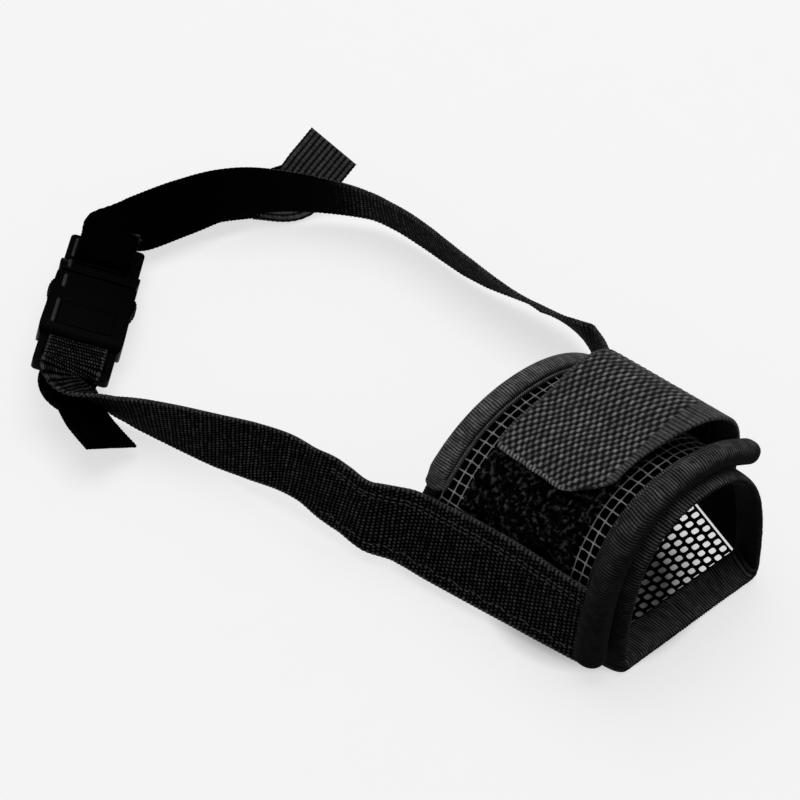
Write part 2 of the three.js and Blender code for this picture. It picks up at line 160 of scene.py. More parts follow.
def make_mesh(name, points, quads, uv=None, relief=None, weld=False):
    """A smooth mesh from millimetre points; uv is in millimetres of cloth, relief is 0 low to 1 high and
    gives the cloth materials painted shade low and painted highlight high.
    """
    quads = np.asarray(quads)
    if volume(points, quads) < 0:
        quads = quads[:, ::-1]
    mesh = bpy.data.meshes.new(name)
    mesh.from_pydata((points * MM).tolist(), [], quads.tolist())
    corner = quads.ravel()
    if uv is not None:
        mesh.uv_layers.new(name="cloth").data.foreach_set("uv", uv[corner].astype(np.float32).ravel())
    values = np.full(len(points), 0.5) if relief is None else relief
    mesh.attributes.new("relief", "FLOAT", "POINT").data.foreach_set("value", values.astype(np.float32))
    if weld:
        joined = bmesh.new()
        joined.from_mesh(mesh)
        bmesh.ops.remove_doubles(joined, verts=joined.verts, dist=WELD_REACH * MM)
        joined.to_mesh(mesh)
        joined.free()
    mesh.polygons.foreach_set("use_smooth", np.ones(len(mesh.polygons), bool))
    mesh.update()
    return show(name, mesh)


def grid_quads(rows, columns, wrap=False):
    i = np.arange(rows - 1)[:, None]
    j = np.arange(columns if wrap else columns - 1)[None]
    after = (j + 1) % columns
    return np.stack([i * columns + j, (i + 1) * columns + j, (i + 1) * columns + after, i * columns + after],
                    -1).reshape(-1, 4)


def rod_quads(count, steps, sides, capped):
    """Faces of many tubes alike, each of steps rings, laid one after the other in one mesh."""
    faces = [grid_quads(steps, sides, wrap=True)]
    if capped:
        for first, turn in ((0, 1), ((steps - 1) * sides, -1)):
            fan = np.array([[first, first + k, first + k + 1, first + k + 2] for k in range(1, sides - 2, 2)])
            faces.append(fan[:, ::turn])
    one = np.concatenate(faces)
    return (one[None] + (np.arange(count) * steps * sides)[:, None, None]).reshape(-1, 4)


def rod_rings(centre, radius, side, up, turn):
    """A circle round every centre, from its two directions across the rod."""
    return centre[..., None, :] + radius[..., None, None] * (
        np.cos(turn)[:, None] * side[..., None, :] + np.sin(turn)[:, None] * up[..., None, :])


def rod_uv(count, along, turn):
    one = np.stack([np.repeat(along, len(turn)), np.tile(turn, len(along))], 1)
    return np.tile(one, (count, 1))


def slab(name, top, bottom, uv, relief_top, relief_bottom):
    """One closed body between two (n, m, 3) grids that share their border."""
    n, m = top.shape[:2]
    inside = np.zeros((n, m), bool)
    inside[1:-1, 1:-1] = True
    under = np.arange(n * m).reshape(n, m)
    under[inside] = n * m + np.arange(inside.sum())
    points = np.concatenate([top.reshape(-1, 3), bottom[inside]])
    quads = grid_quads(n, m)
    flipped = under.ravel()[quads][:, ::-1]
    uvs = np.concatenate([uv.reshape(-1, 2), uv[inside]])
    relief = np.concatenate([relief_top.ravel(), relief_bottom[inside]])
    return make_mesh(name, points, np.concatenate([quads, flipped]), uvs, relief)


def tube(name, rings, uv, relief, closed=False):
    """A closed body of (n, m, 3) rings; its ends are closed unless the last ring meets the first."""
    n, m = rings.shape[:2]
    points, quads = rings.reshape(-1, 3), grid_quads(n, m, wrap=True)
    uvs, relief = uv.reshape(-1, 2), relief.ravel()
    if closed:
        j = np.arange(m)
        last, after = (n - 1) * m, (j + 1) % m
        quads = np.concatenate([quads, np.stack([last + j, j, after, last + after], -1)])
    else:
        for row, turn in ((0, 1), (n - 1, -1)):
            centre = len(points)
            points = np.concatenate([points, rings[row].mean(0)[None]])
            uvs = np.concatenate([uvs, uv[row].mean(0)[None]])
            relief = np.concatenate([relief, [0.5]])
            first, j = row * m, np.arange(0, m, 2)
            fan = np.stack([first + j, first + (j + 1) % m, first + (j + 2) % m, np.full(len(j), centre)], -1)
            quads = np.concatenate([quads, fan[:, ::turn]])
    return make_mesh(name, points, quads, uvs, relief)


EDGE_SHARES = np.array([0.08, 0.3, 0.62])


def spread(low, high, step, edge):
    """Evenly spaced places from low to high, with a few more close to both ends for a round edge."""
    count = max(2, int(round((high - low) / step)) + 1)
    extra = EDGE_SHARES * edge
    return np.unique(np.round(np.concatenate([np.linspace(low, high, count), low + extra, high - extra]), 4))


def round_off(distance, radius):
    """0 at an edge, rising along a quarter circle to 1 at the given radius."""
    near = np.clip(distance / radius, 0, 1)
    return np.sqrt(np.clip(1 - (1 - near) ** 2, 0, 1))


def smooth(low, high, value):
    """0 up to low and 1 from high on, or the other way round when low is over high."""
    share = np.clip((value - low) / (high - low), 0, 1)
    return share * share * (3 - 2 * share)


# ---- weaves: each gives a height from 0, in a gap, to 1, on top of a yarn ----

BLOB_SEED, ROW_SEED = 81, 71


def wander(u, v, reach, size_u, size_v, seed):
    """Places drawn a little out of line, first along the cloth and then across it."""
    u = u + reach * (value_noise(u, v, size_u, seed) - 0.5)
    return u, v + reach * (value_noise(u, v, size_v, seed + 1) - 0.5)


def plain_weave(u, v, pitch_u, pitch_v, fullness):
    """Alternating blobs, one up and one down, like a plain weave of thick yarns, no two quite alike."""
    u, v = wander(u, v, 0.55, 4.0, 4.0, BLOB_SEED)
    wave = np.cos(math.pi * u / pitch_u) * np.cos(math.pi * v / pitch_v)
    uneven = 0.75 + 0.25 * each_blob(np.round(u / pitch_u), np.round(v / pitch_v), BLOB_SEED + 2)
    return (0.5 + 0.5 * np.sign(wave) * np.abs(wave) ** fullness) * uneven


def dotted_rows(u, v, pitch_u, pitch_v):
    """Rows of small blobs across the cloth, every other row half a blob along and a little lower."""
    u, v = wander(u, v, 0.5, 5.0, 4.0, ROW_SEED)
    row = np.floor(u / pitch_u)
    along = v / pitch_v + 0.5 * (row % 2)
    blob = np.abs(np.sin(math.pi * u / pitch_u)) ** 0.7 * (0.12 + 0.88 * np.abs(np.sin(math.pi * along)))
    return blob * (1 - 0.1 * (row % 2)) * (0.72 + 0.28 * each_blob(row, np.floor(along), ROW_SEED + 2))


def each_blob(row, place, seed):
    """A steady random value from 0 to 1 for every blob of a weave."""
    table = np.random.default_rng(seed).random((256, 256))
    return table[row.astype(int) % 256, place.astype(int) % 256]


def ribs(u, pitch):
    return np.abs(np.sin(math.pi * u / pitch)) ** 0.7


def value_noise(u, v, size, seed):
    """Smooth noise from 0 to 1 whose blobs are about size wide."""
    table = np.random.default_rng(seed).random((257, 257))
    a, b = u / size + 61.3, v / size + 47.9
    i, j = np.floor(a).astype(int), np.floor(b).astype(int)
    fa, fb = smooth(0, 1, a - i), smooth(0, 1, b - j)
    i, j = i % 256, j % 256
    return ((table[i, j] * (1 - fb) + table[i, j + 1] * fb) * (1 - fa)
            + (table[i + 1, j] * (1 - fb) + table[i + 1, j + 1] * fb) * fa)


# ---- materials ----

def node_material(name):
    material = bpy.data.materials.new(name)
    material.use_nodes = True
    tree = material.node_tree
    place = tree.nodes.new("ShaderNodeTexCoord").outputs["Object"]
    return material, tree, tree.nodes["Principled BSDF"], place


def set_inputs(tree, node, **inputs):
    """Each input is given a value or is linked to an output."""
    for label, given in inputs.items():
        socket = node.inputs[label.replace("_", " ")]
        if isinstance(given, bpy.types.NodeSocket):
            tree.links.new(given, socket)
        else:
            socket.default_value = given


def add_node(tree, kind, **inputs):
    node = tree.nodes.new("ShaderNode" + kind)
    set_inputs(tree, node, **inputs)
    return node


def add_math(tree, operation, *terms):
    node = tree.nodes.new("ShaderNodeMath")
    node.operation = operation
    for socket, term in zip(node.inputs, terms):
        if isinstance(term, bpy.types.NodeSocket):
            tree.links.new(term, socket)
        else:
            socket.default_value = term
    return node.outputs[0]


def add_noise(tree, vector, scale, detail, roughness):
    noise = add_node(tree, "TexNoise", Vector=vector, Scale=scale, Detail=detail, Roughness=roughness)
    return noise.outputs["Fac"]


def add_ramp(tree, value, stops):
    """A colour ramp through greys."""
    node = add_node(tree, "ValToRGB", Fac=value)
    ramp = node.color_ramp
    while len(ramp.elements) < len(stops):
        ramp.elements.new(0.5)
    for element, (place, grey) in zip(ramp.elements, stops):
        element.position = place
        element.color = (grey, grey, grey, 1)
    return node.outputs[0]


def add_bump(tree, height, strength, distance):
    return add_node(tree, "Bump", Height=height, Strength=strength, Distance=distance).outputs[0]


ALONG_YARNS, EVERY_WAY = (1.0, 6.0, 1), (3.0, 3.0, 1)
FILAMENT_SCALE, YARN_SCALE = 1.6, 0.75
DYE_SCALE, DYE_FADE = 90.0, 0.35
LINT_SCALE, LINT_ABOVE, LINT_GAIN = 1900.0, 0.71, 0.7
# Painted light by facing: how sharply and how much upward faces are lightened.
PAINTED_TOP_POWER, PAINTED_TOP_GAIN = 1.8, 2.6


def cloth_material(name, gap, low, high, roughness, specular, sheen, fibre=ALONG_YARNS, patchy=0.25,
                   painted_top_light=0.5):
    """Yarns in painted shade and highlight by their height, with filaments along them, uneven dye, lint, and
    painted light on upward faces with painted shade on the others.

    gap, low and high are the colours of a gap, a yarn's side and a yarn's top: painted shade in the gaps and
    painted highlight on the tops."""
    material, tree, shader, place = node_material(name)
    cloth = tree.nodes.new("ShaderNodeUVMap")
    cloth.uv_map = "cloth"
    cloth = cloth.outputs["UV"]
    stretched = add_node(tree, "Mapping", Vector=cloth, Scale=fibre).outputs["Vector"]
    filaments = add_noise(tree, stretched, FILAMENT_SCALE, 4.0, 0.62)
    dye = add_noise(tree, place, DYE_SCALE, 4.0, 0.6)
    lint = add_noise(tree, place, LINT_SCALE, 1.0, 0.4)
    height = tree.nodes.new("ShaderNodeAttribute")
    height.attribute_name = "relief"
    fuzzed = add_math(tree, "MULTIPLY_ADD", filaments, 0.55, -0.275)
    lifted = add_math(tree, "ADD", height.outputs["Fac"], fuzzed)
    # Painted shade in the gaps and painted highlight on the yarn tops, from the relief.
    colour = add_ramp(tree, lifted, [(0.0, gap), (0.42, low), (0.95, high)])
    uneven = add_math(tree, "MULTIPLY_ADD", dye, DYE_FADE, 1 - DYE_FADE * 0.5)
    speck = add_math(tree, "MULTIPLY", add_math(tree, "GREATER_THAN", lint, LINT_ABOVE), LINT_GAIN)
    yarns = add_node(tree, "TexVoronoi", Vector=cloth, Scale=YARN_SCALE).outputs["Color"]
    yarn = add_node(tree, "SeparateColor", Color=yarns).outputs[0]
    patches = add_math(tree, "MULTIPLY_ADD", yarn, 2 * patchy, 1 - patchy)
    normal = tree.nodes.new("ShaderNodeNewGeometry").outputs["Normal"]
    facing = add_node(tree, "SeparateXYZ", Vector=normal).outputs["Z"]
    # Painted light and shade by facing: upward faces are made lighter and the others darker.
    upward = add_math(tree, "POWER", add_math(tree, "MAXIMUM", facing, 0.0), PAINTED_TOP_POWER)
    painted_facing_light = add_math(tree, "MULTIPLY_ADD", upward, painted_top_light * PAINTED_TOP_GAIN, 1 - painted_top_light)
    amount = add_math(tree, "MULTIPLY", add_math(tree, "ADD", uneven, speck),
                      add_math(tree, "MULTIPLY", patches, painted_facing_light))
    mixed = tree.nodes.new("ShaderNodeVectorMath")
    mixed.operation = "SCALE"
    tree.links.new(colour, mixed.inputs[0])
    tree.links.new(amount, mixed.inputs["Scale"])
    set_inputs(tree, shader, Base_Color=mixed.outputs[0], Normal=add_bump(tree, filaments, 0.5, 0.12 * MM),
               Roughness=add_math(tree, "MULTIPLY_ADD", filaments, 0.3, roughness - 0.15),
               Specular_IOR_Level=specular, Sheen_Weight=sheen, Sheen_Roughness=0.5)
    return material


SPARK_SCALE, SMEAR_SCALE = 3200.0, 140.0


def plastic_material(name, dark, light, specular):
    """Moulded black acetal with a fine spark texture and soft blotches between dark and light; the bright
    copy for the outer ridges is painted highlight.
    """
    material, tree, shader, place = node_material(name)
    spark = add_noise(tree, place, SPARK_SCALE, 2.0, 0.5)
    smear = add_noise(tree, place, SMEAR_SCALE, 4.0, 0.6)
    set_inputs(tree, shader, Base_Color=add_ramp(tree, smear, [(0.3, dark), (0.75, light)]),
               Roughness=add_math(tree, "MULTIPLY_ADD", smear, 0.22, 0.26),
               Normal=add_bump(tree, spark, 0.22, 0.06 * MM), Specular_IOR_Level=specular)
    return material


# The tube's own footprint on the floor, where a painted shadow lowers the floor's glow, in metres: its
# middle, and its reach to the front and the side.
PAINTED_SHADOW_MIDDLE, PAINTED_SHADOW_REACH = (0.012, -0.010, 0), (0.034, 0.038, 1)
# The glow inside the painted shadow, and on the rest of the floor.
PAINTED_SHADOW_GLOW, FLOOR_GLOW = 0.03, 0.673


def floor_material():
    """Pale paper that is lit from below too, and less so in the middle of the tube's own footprint, where the
    drop in its glow is a painted shadow.
    """
    material, tree, shader, place = node_material("floor_paper")
    grain = add_noise(tree, place, 60.0, 3.0, 0.5)
    from_middle = add_node(tree, "Mapping", Vector=place, Location=PAINTED_SHADOW_MIDDLE, Scale=PAINTED_SHADOW_REACH)
    from_middle.vector_type = "TEXTURE"
    reach = tree.nodes.new("ShaderNodeVectorMath")
    reach.operation = "LENGTH"
    tree.links.new(from_middle.outputs["Vector"], reach.inputs[0])
    # Painted shadow: the glow drops under the tube.
    glow_with_painted_shadow = add_ramp(tree, reach.outputs["Value"], [(0.6, PAINTED_SHADOW_GLOW), (1.0, FLOOR_GLOW)])
    set_inputs(tree, shader, Base_Color=add_ramp(tree, grain, [(0.0, 0.54), (1.0, 0.56)]), Roughness=0.9,
               Emission_Color=(1.0, 1.0, 1.0, 1), Emission_Strength=glow_with_painted_shadow, Specular_IOR_Level=0.1)
    return material


LOOKS = {
    "webbing": cloth_material("webbing_weave", 0.0, 0.0012, 0.086, 0.7, 0.01, 0.0, patchy=0.4, painted_top_light=0.2),
    "flap": cloth_material("flap_weave", 0.0002, 0.022, 0.28, 0.6, 0.08, 0.03, painted_top_light=0.3),
    "binding": cloth_material("binding_ribs", 0.0004, 0.0050, 0.080, 0.75, 0.03, 0.01, painted_top_light=0.96),
    "tape": cloth_material("rear_tape", 0.0006, 0.020, 0.20, 0.7, 0.08, 0.03, painted_top_light=0.3),
    # Painted highlight: the outer net's threads are black, and their light grey stands in for the light on
    # them.
    "thread": cloth_material("net_thread_painted_highlight", 0.004, 0.10, 0.34, 0.5, 0.25, 0.1, painted_top_light=0.0),
    "knit": cloth_material("inner_knit", 0.0001, 0.0006, 0.005, 0.85, 0.01, 0.0),
    "mesh": cloth_material("chin_net", 0.0003, 0.001, 0.004, 0.8, 0.03, 0.0),
    "fleece": cloth_material("loop_fleece", 0.0001, 0.0016, 0.048, 0.95, 0.01, 0.0, EVERY_WAY, patchy=0.5,
                             painted_top_light=0.2),
    "fuzz": cloth_material("loop_fuzz", 0.001, 0.006, 0.034, 0.8, 0.05, 0.02, EVERY_WAY, patchy=0.0),
    "hooks": cloth_material("hook_tape", 0.0003, 0.0012, 0.006, 0.6, 0.1, 0.0),
    "stitch": cloth_material("sewing_thread", 0.001, 0.010, 0.060, 0.5, 0.08, 0.02, painted_top_light=0.1),
    "tab": cloth_material("tab_ribs", 0.0004, 0.016, 0.12, 0.7, 0.03, 0.0, painted_top_light=0.0),
    "plastic": plastic_material("buckle_acetal", 0.0004, 0.0012, 0.03),
    # Painted highlight: a much lighter, glossier copy of the acetal for the outer ridges.
    "highlight_painted": plastic_material("highlight_painted_acetal", 0.010, 0.060, 0.40),
}


def finish_piece(obj, look, body, slot, *nodes, ride=True):
    """Gives the piece its look and, when it rides, its body, and hides the CAD nodes that it stands for; slot
    is not used.
    """
    obj.data.materials.append(LOOKS[look])
    if ride:
        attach(obj, body)
    if nodes:
        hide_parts(*nodes)
    return obj


# ---- cloth layers on the tube ----

def arch_slab(name, x_range, across_range, low, high, weave, depth, step, warp=None, edge=0.6):
    """A cloth layer from lift low to lift high; weave(x, s) is its relief, s in millimetres across."""
    x = spread(*x_range, step, edge)
    scale = half_length(sum(x_range) / 2)
    s = spread(across_range[0] * scale, across_range[1] * scale, step, edge)
    grid_x, grid_s = np.meshgrid(x, s, indexing="ij")
    if warp:
        grid_x, grid_s = warp(grid_x, grid_s)
    border = np.minimum(np.minimum(x - x[0], x[-1] - x)[:, None], np.minimum(s - s[0], s[-1] - s)[None])
    lows, highs = (f(grid_s / scale, grid_x) if callable(f) else f for f in (low, high))
    middle, half = (lows + highs) / 2, (highs - lows) / 2
    full = round_off(border, edge)
    woven = weave(grid_x, grid_s)
    top = arch(grid_x, grid_s / scale, middle + full * (half + depth * (woven - 0.7)))
    bottom = arch(grid_x, grid_s / scale, middle - full * (half + depth * (woven - 1.0)))
    return slab(name, top, bottom, np.stack([grid_x, grid_s], -1), woven, woven)


SAMPLES_PER_RIB = 5
RING_UV = 20


def ribbed_tube(name, place, length, section, pitch, depth, closed=False, taper=0.0, fine=0.0, sides=36):
    """A rolled binding: ribs run round its section, and place(share, a, b) maps a point of the section."""
    count = int(length / pitch) * SAMPLES_PER_RIB
    share = np.arange(count) / count if closed else np.linspace(0, 1, count)
    turn = np.arange(sides) / sides * TAU
    along, angle = np.meshgrid(share * length, turn, indexing="ij")
    round_up = np.ones_like(along)
    if taper:
        round_up = np.maximum(round_off(np.minimum(along, length - along), taper), 0.02)
    ring = angle / TAU * RING_UV
    height = ribs(along + 0.25 * np.sin(angle * 2) + 0.5 * (value_noise(along, ring, 3.0, 41) - 0.5), pitch)
    height = height * (0.7 + 0.3 * value_noise(along, ring, 1.2, 42))
    if fine:
        height = height * (0.8 + 0.2 * np.abs(np.sin(angle * fine)))
    grow = round_up * (1 + depth * (height - 0.8))
    a, b = section(angle)
    rings = place(along / length, a * grow, b * grow)
    return tube(name, rings, np.stack([along, ring], -1), height, closed)


def squarish(angle, power=0.72):
    return (np.sign(np.cos(angle)) * np.abs(np.cos(angle)) ** power,
            np.sign(np.sin(angle)) * np.abs(np.sin(angle)) ** power)


def rounded(angle):
    return squarish(angle, 0.88)


EDGE_ARCH_SHARE, EDGE_ARCH_END = 0.7, 0.94
EDGE_CORNER_INNER, EDGE_CORNER_OUTER = -3.4, 1.4
EDGE_EASE = 0.012


def closed_edge_place(rear, front, lowest, highest):
    """The bound edge of the tube: over the arch for most of its turn, then flat under the chin."""
    def place(share, a, b):
        turn = 2 * share - 1
        x = (rear + front) / 2 + a * (front - rear) / 2
        outer = (b + 1) / 2
        across = np.clip(turn / EDGE_ARCH_SHARE, -1, 1) * EDGE_ARCH_END
        over = arch(x, across, lowest + outer * (highest - lowest))
        corner = foot_at(x) + EDGE_CORNER_INNER + (EDGE_CORNER_OUTER - EDGE_CORNER_INNER) * outer
        flat_share = np.clip((1 - np.abs(turn)) / (1 - EDGE_ARCH_SHARE), 0, 1)
        flat = np.stack([x, np.sign(turn) * corner * flat_share, (highest - lowest) * (1 - outer)], -1)
        # The corner between arch and chin is eased over a short run.
        mix = smooth(EDGE_ARCH_SHARE - EDGE_EASE, EDGE_ARCH_SHARE + EDGE_EASE, np.abs(turn))[..., None]
        return over * (1 - mix) + flat * mix
    return place


def roll_place(rear, front, low, high, start, end, straight=0.0):
    """A roll over the arch from start to end, then straight on; gives its place function and its length."""
    middle = (rear + front) / 2
    arch_length = abs(end - start) * half_length(middle)
    arch_share = arch_length / (arch_length + straight)
    heading = arch(middle, end + 0.01, 0) - arch(middle, end - 0.01, 0)
    heading /= np.linalg.norm(heading)

    def place(share, a, b):
        x = middle + a * (front - rear) / 2
        across = start + (end - start) * np.minimum(share / arch_share, 1)
        top = high(across) if callable(high) else high
        points = arch(x, across, (low + top) / 2 + b * (top - low) / 2)
        past = np.maximum(share - arch_share, 0) * (arch_length + straight)
        return points + past[..., None] * heading
    return place, arch_length + straight


# ---- open nets ----

def net_cells(u_range, v_range, cell_u, cell_v, staggered):
    """Middles and half sizes of the cells; in a staggered net every other row starts with a half cell."""
    count_u = max(1, round((u_range[1] - u_range[0]) / cell_u))
    count_v = max(1, round((v_range[1] - v_range[0]) / cell_v))
    half_u = (u_range[1] - u_range[0]) / count_u / 2
    half_v = (v_range[1] - v_range[0]) / count_v / 2
    cells = []
    for j in range(count_v):
        v = v_range[0] + (2 * j + 1) * half_v
        if staggered and j % 2:
            cells.append((u_range[0] + half_u / 2, v, half_u / 2, half_v))
            cells.append((u_range[1] - half_u / 2, v, half_u / 2, half_v))
            cells += [(u_range[0] + (2 * i + 2) * half_u, v, half_u, half_v) for i in range(count_u - 1)]
        else:
            cells += [(u_range[0] + (2 * i + 1) * half_u, v, half_u, half_v) for i in range(count_u)]
    return np.array(cells)


HOLE_SIDES = 4
# The round of a bar, from the net's upper face through its side to the lower face.
BAR_ROUND = np.array([(0, 1), (0.5, 0.87), (0.87, 0.5), (1, 0), (0.87, -0.5), (0.5, -0.87), (0, -1)])


def lattice(name, place, u_range, v_range, cell, bar, thick, roundness, staggered):
    """A real open net: each cell is a rounded hole in a sheet of round bars."""
    cells = net_cells(u_range, v_range, *cell, staggered)
    side = np.linspace(-1, 1, HOLE_SIDES + 1)[:-1]
    one = np.ones(HOLE_SIDES)
    square = np.concatenate([np.stack([one, side], 1), np.stack([-side, one], 1),
                             np.stack([-one, -side], 1), np.stack([side, -one], 1)])
    power = np.abs(square[:, :1]) ** roundness + np.abs(square[:, 1:]) ** roundness
    hole = square / power ** (1 / roundness)
    half = cells[:, None, 2:]
    outer, inner = square * half, hole * (half - bar / 2)
    share = BAR_ROUND[:, :1, None]
    flat = outer[:, None] * (1 - share) + inner[:, None] * share + cells[:, None, None, :2]
    height = np.broadcast_to(BAR_ROUND[:, 1][None, :, None], flat.shape[:3])
    levels, ring = len(BAR_ROUND), len(square)
    faces = [rod_quads(len(cells), levels, ring, capped=False)]
    k = np.arange(ring)
    after = (k + 1) % ring
    for n, rim in enumerate(outer + cells[:, None, :2]):
        # The net's own border is closed by walls.
        same = np.zeros(ring, bool)
        for axis, ends in ((0, u_range), (1, v_range)):
            for end in ends:
                close = np.isclose(rim[:, axis], end, atol=1e-6)
                same |= close & close[after]
        a, b = k[same], after[same]
        high, low = n * levels * ring, ((n + 1) * levels - 1) * ring
        faces.append(np.stack([high + a, high + b, low + b, low + a], 1))
    quads = np.concatenate(faces)
    flat, height = flat.reshape(-1, 2), height.ravel()
    points = place(flat[:, 0], flat[:, 1], height * thick / 2)
    return make_mesh(name, points, quads, flat.copy(), 0.5 + 0.5 * height, weld=True)


# ---- webbing ribbons through listed stations ----

LOOP_CENTRE = np.array([-120.0, -12.0])


def unit(v):
    return v / np.linalg.norm(v, axis=-1, keepdims=True)


def station(x, y, z, lean):
    """A place on the neck loop; lean tips its upper edge away from the loop's middle, in degrees."""
    out = unit(np.array([x, y]) - LOOP_CENTRE)
    angle = math.radians(lean)
    return np.array([x, y, z], float), np.array([*(math.sin(angle) * out), math.cos(angle)])


SIDE_HEIGHT, SIDE_DROP = 16.3, 0.062


def side_station(x, side, lift):
    """A place on the side webbing: side is -1 on the right and 1 on the left."""
    height = SIDE_HEIGHT - max(0, -x) * SIDE_DROP
    across = side * (1 - height / half_length(x))
    at = arch(x, across, lift)
    return at, unit(arch(x, across - side * 0.02, lift) - at)


STEPS_PER_STATION = 24


def centripetal(points):
    """Dense points and station places of a centripetal Catmull-Rom curve."""
    padded = np.concatenate([[2 * points[0] - points[1]], points, [2 * points[-1] - points[-2]]])
    line, place = [], []
    share = np.linspace(0, 1, STEPS_PER_STATION, endpoint=False)
    t = share[:, None]
    for i in range(len(points) - 1):
        p0, p1, p2, p3 = padded[i:i + 4]
        d0, d1, d2 = (np.linalg.norm(b - a) ** 0.5 for a, b in ((p0, p1), (p1, p2), (p2, p3)))
        t1 = ((p1 - p0) / d0 - (p2 - p0) / (d0 + d1) + (p2 - p1) / d1) * d1
        t2 = ((p2 - p1) / d1 - (p3 - p1) / (d1 + d2) + (p3 - p2) / d2) * d1
        bend, twist = -3 * p1 + 3 * p2 - 2 * t1 - t2, 2 * p1 - 2 * p2 + t1 + t2
        line.append(p1 + t1 * t + bend * t ** 2 + twist * t ** 3)
        place.append(i + share)
    return np.concatenate(line + [points[-1:]]), np.concatenate(place + [[len(points) - 1.0]])


WEBBING_THICK, WEBBING_EDGE = 1.4, 0.6


def ribbon(stations, step):
    """Centre line, width direction and face direction at equal steps along the webbing."""
    points = np.array([s[0] for s in stations])
    ups = np.array([s[1] for s in stations])
    line, place = centripetal(points)
    run = run_along(line)
    s = spread(0, run[-1], step, WEBBING_EDGE)
    centre = read_at(s, run, line)
    at = np.interp(s, run, place)
    width_way = read_at(at, np.arange(len(ups)), ups)
    tangent = unit(np.gradient(centre, s, axis=0))
    width_way = unit(width_way - tangent * np.sum(width_way * tangent, 1, keepdims=True))
    return s, centre, width_way, np.cross(tangent, width_way)


WEAVE_ALONG, WEAVE_ACROSS = 1.5, 1.4
WEAVE_DEPTH = 0.34
SELVAGE = 1.3


def webbing_weave(width):
    def weave(s, v):
        body = dotted_rows(s, v, WEAVE_ALONG, WEAVE_ACROSS)
        beads = np.abs(np.sin(math.pi * s / WEAVE_ALONG)) ** 0.6
        edge = smooth(width / 2 - SELVAGE - 0.25, width / 2 - SELVAGE + 0.25, np.abs(v))
        return body * (1 - edge) + beads * edge * 0.9
    return weave


def strap(name, stations, width, weave=None, step=0.4, taper=None, dim=None):
    """A closed webbing ribbon with its weave on both faces and scalloped long edges."""
    weave = weave or webbing_weave(width)
    s, centre, width_way, face_way = ribbon(stations, step)
    v = spread(-width / 2, width / 2, step, WEBBING_EDGE)
    grid_s, grid_v = np.meshgrid(s, v, indexing="ij")
    scallop = 1 + 0.16 / width * np.cos(TAU * grid_s / WEAVE_ALONG)
    wide = grid_v * scallop * (taper(grid_s) if taper else 1)
    border = np.minimum(np.minimum(s - s[0], s[-1] - s)[:, None], (width / 2 - np.abs(v))[None])
    full = round_off(border, WEBBING_EDGE)
    up, down = weave(grid_s, grid_v), weave(grid_s + WEAVE_ALONG / 2, grid_v)
    # dim darkens each face's colour along the strap; on the left strap's inner face this is painted shade.
    shade_up, shade_down = dim(grid_s) if dim else (1.0, 1.0)
    half = WEBBING_THICK / 2

    def at(height):
        return (centre[:, None] + width_way[:, None] * wide[..., None]
                + face_way[:, None] * height[..., None])
    top = at(full * (half + WEAVE_DEPTH * (up - 0.75)))
    bottom = at(-full * (half + WEAVE_DEPTH * (down - 0.75)))
    return slab(name, top, bottom, np.stack([grid_s, grid_v], -1), up * shade_up, down * shade_down)


# ---- sewing ----

STITCH_LENGTH, STITCH_GAP, STITCH_RADIUS = 1.7, 0.6, 0.24
STITCH_STEPS, STITCH_SIDES = 7, 6


def stitches(name, points, normals):
    """A row of stitches, each a plump little thread lying along the line."""
    run = run_along(points)
    starts = np.arange(0, run[-1] - STITCH_LENGTH, STITCH_LENGTH + STITCH_GAP)
    share = np.linspace(0, 1, STITCH_STEPS)
    plump = np.maximum(round_off(np.minimum(share, 1 - share), 0.25), 0.05)
    turn = np.arange(STITCH_SIDES) / STITCH_SIDES * TAU
    rings = []
    for start in starts:
        s = start + share * STITCH_LENGTH
        centre = read_at(s, run, points)
        up = unit(read_at(s, run, normals))
        along = unit(np.gradient(centre, axis=0))
        side = unit(np.cross(along, up))
        arc = (plump - 0.6)[:, None] * up * STITCH_RADIUS
        rings.append(rod_rings(centre + arc, STITCH_RADIUS * plump, side, up, turn).reshape(-1, 3))
    quads = rod_quads(len(starts), STITCH_STEPS, STITCH_SIDES, capped=True)
    relief = np.tile(np.repeat(plump, STITCH_SIDES), len(starts))
    return make_mesh(name, np.concatenate(rings), quads, rod_uv(len(starts), share * 3, turn), relief)


def strap_line(stations, offset, lift, start, end, wobble, wavelength, taper):
    """Points and normals of a line along a ribbon's face, off its middle by offset."""
    s, centre, width_way, face_way = ribbon(stations, 0.4)
    keep = (s >= start) & (s <= end)
    across = offset * taper(s) + wobble * np.sin(TAU * s / wavelength)
    line = centre + width_way * across[:, None] + face_way * lift
    return line[keep], (face_way * np.sign(lift))[keep]


def fibres(name, place, u_range, v_range, count, length, radius):
    """Short curled fibres standing off a pile, each a thin open-ended tube."""
    u = rng.uniform(*u_range, count)
    v = rng.uniform(*v_range, count)
    base, above = place(u, v, 0.0), place(u, v, 1.0)
    up = unit(above - base)
    lean = unit(rng.normal(size=(count, 3)))
    curl = unit(np.cross(up, lean))
    tall = rng.uniform(0.5, 1.0, count)[:, None] * length
    steps, sides = 4, 3
    share = np.linspace(0, 1, steps)
    turn = np.arange(sides) / sides * TAU
    centre = (base[:, None] + up[:, None] * (np.sin(share * 2.4) * 0.75)[None, :, None] * tall[:, None]
              + lean[:, None] * (share * 0.9)[None, :, None] * tall[:, None]
              + curl[:, None] * (np.sin(share * 3) * 0.35)[None, :, None] * tall[:, None])
    thin = radius * np.array([1.0, 0.9, 0.7, 0.35])
    ring = rod_rings(centre, thin, curl[:, None], np.cross(up, curl)[:, None], turn)
    quads = rod_quads(count, steps, sides, capped=False)
    relief = np.tile(np.repeat(share, sides), count)
    return make_mesh(name, ring.reshape(-1, 3), quads, rod_uv(count, share, turn), relief)


# ---- the nets ----

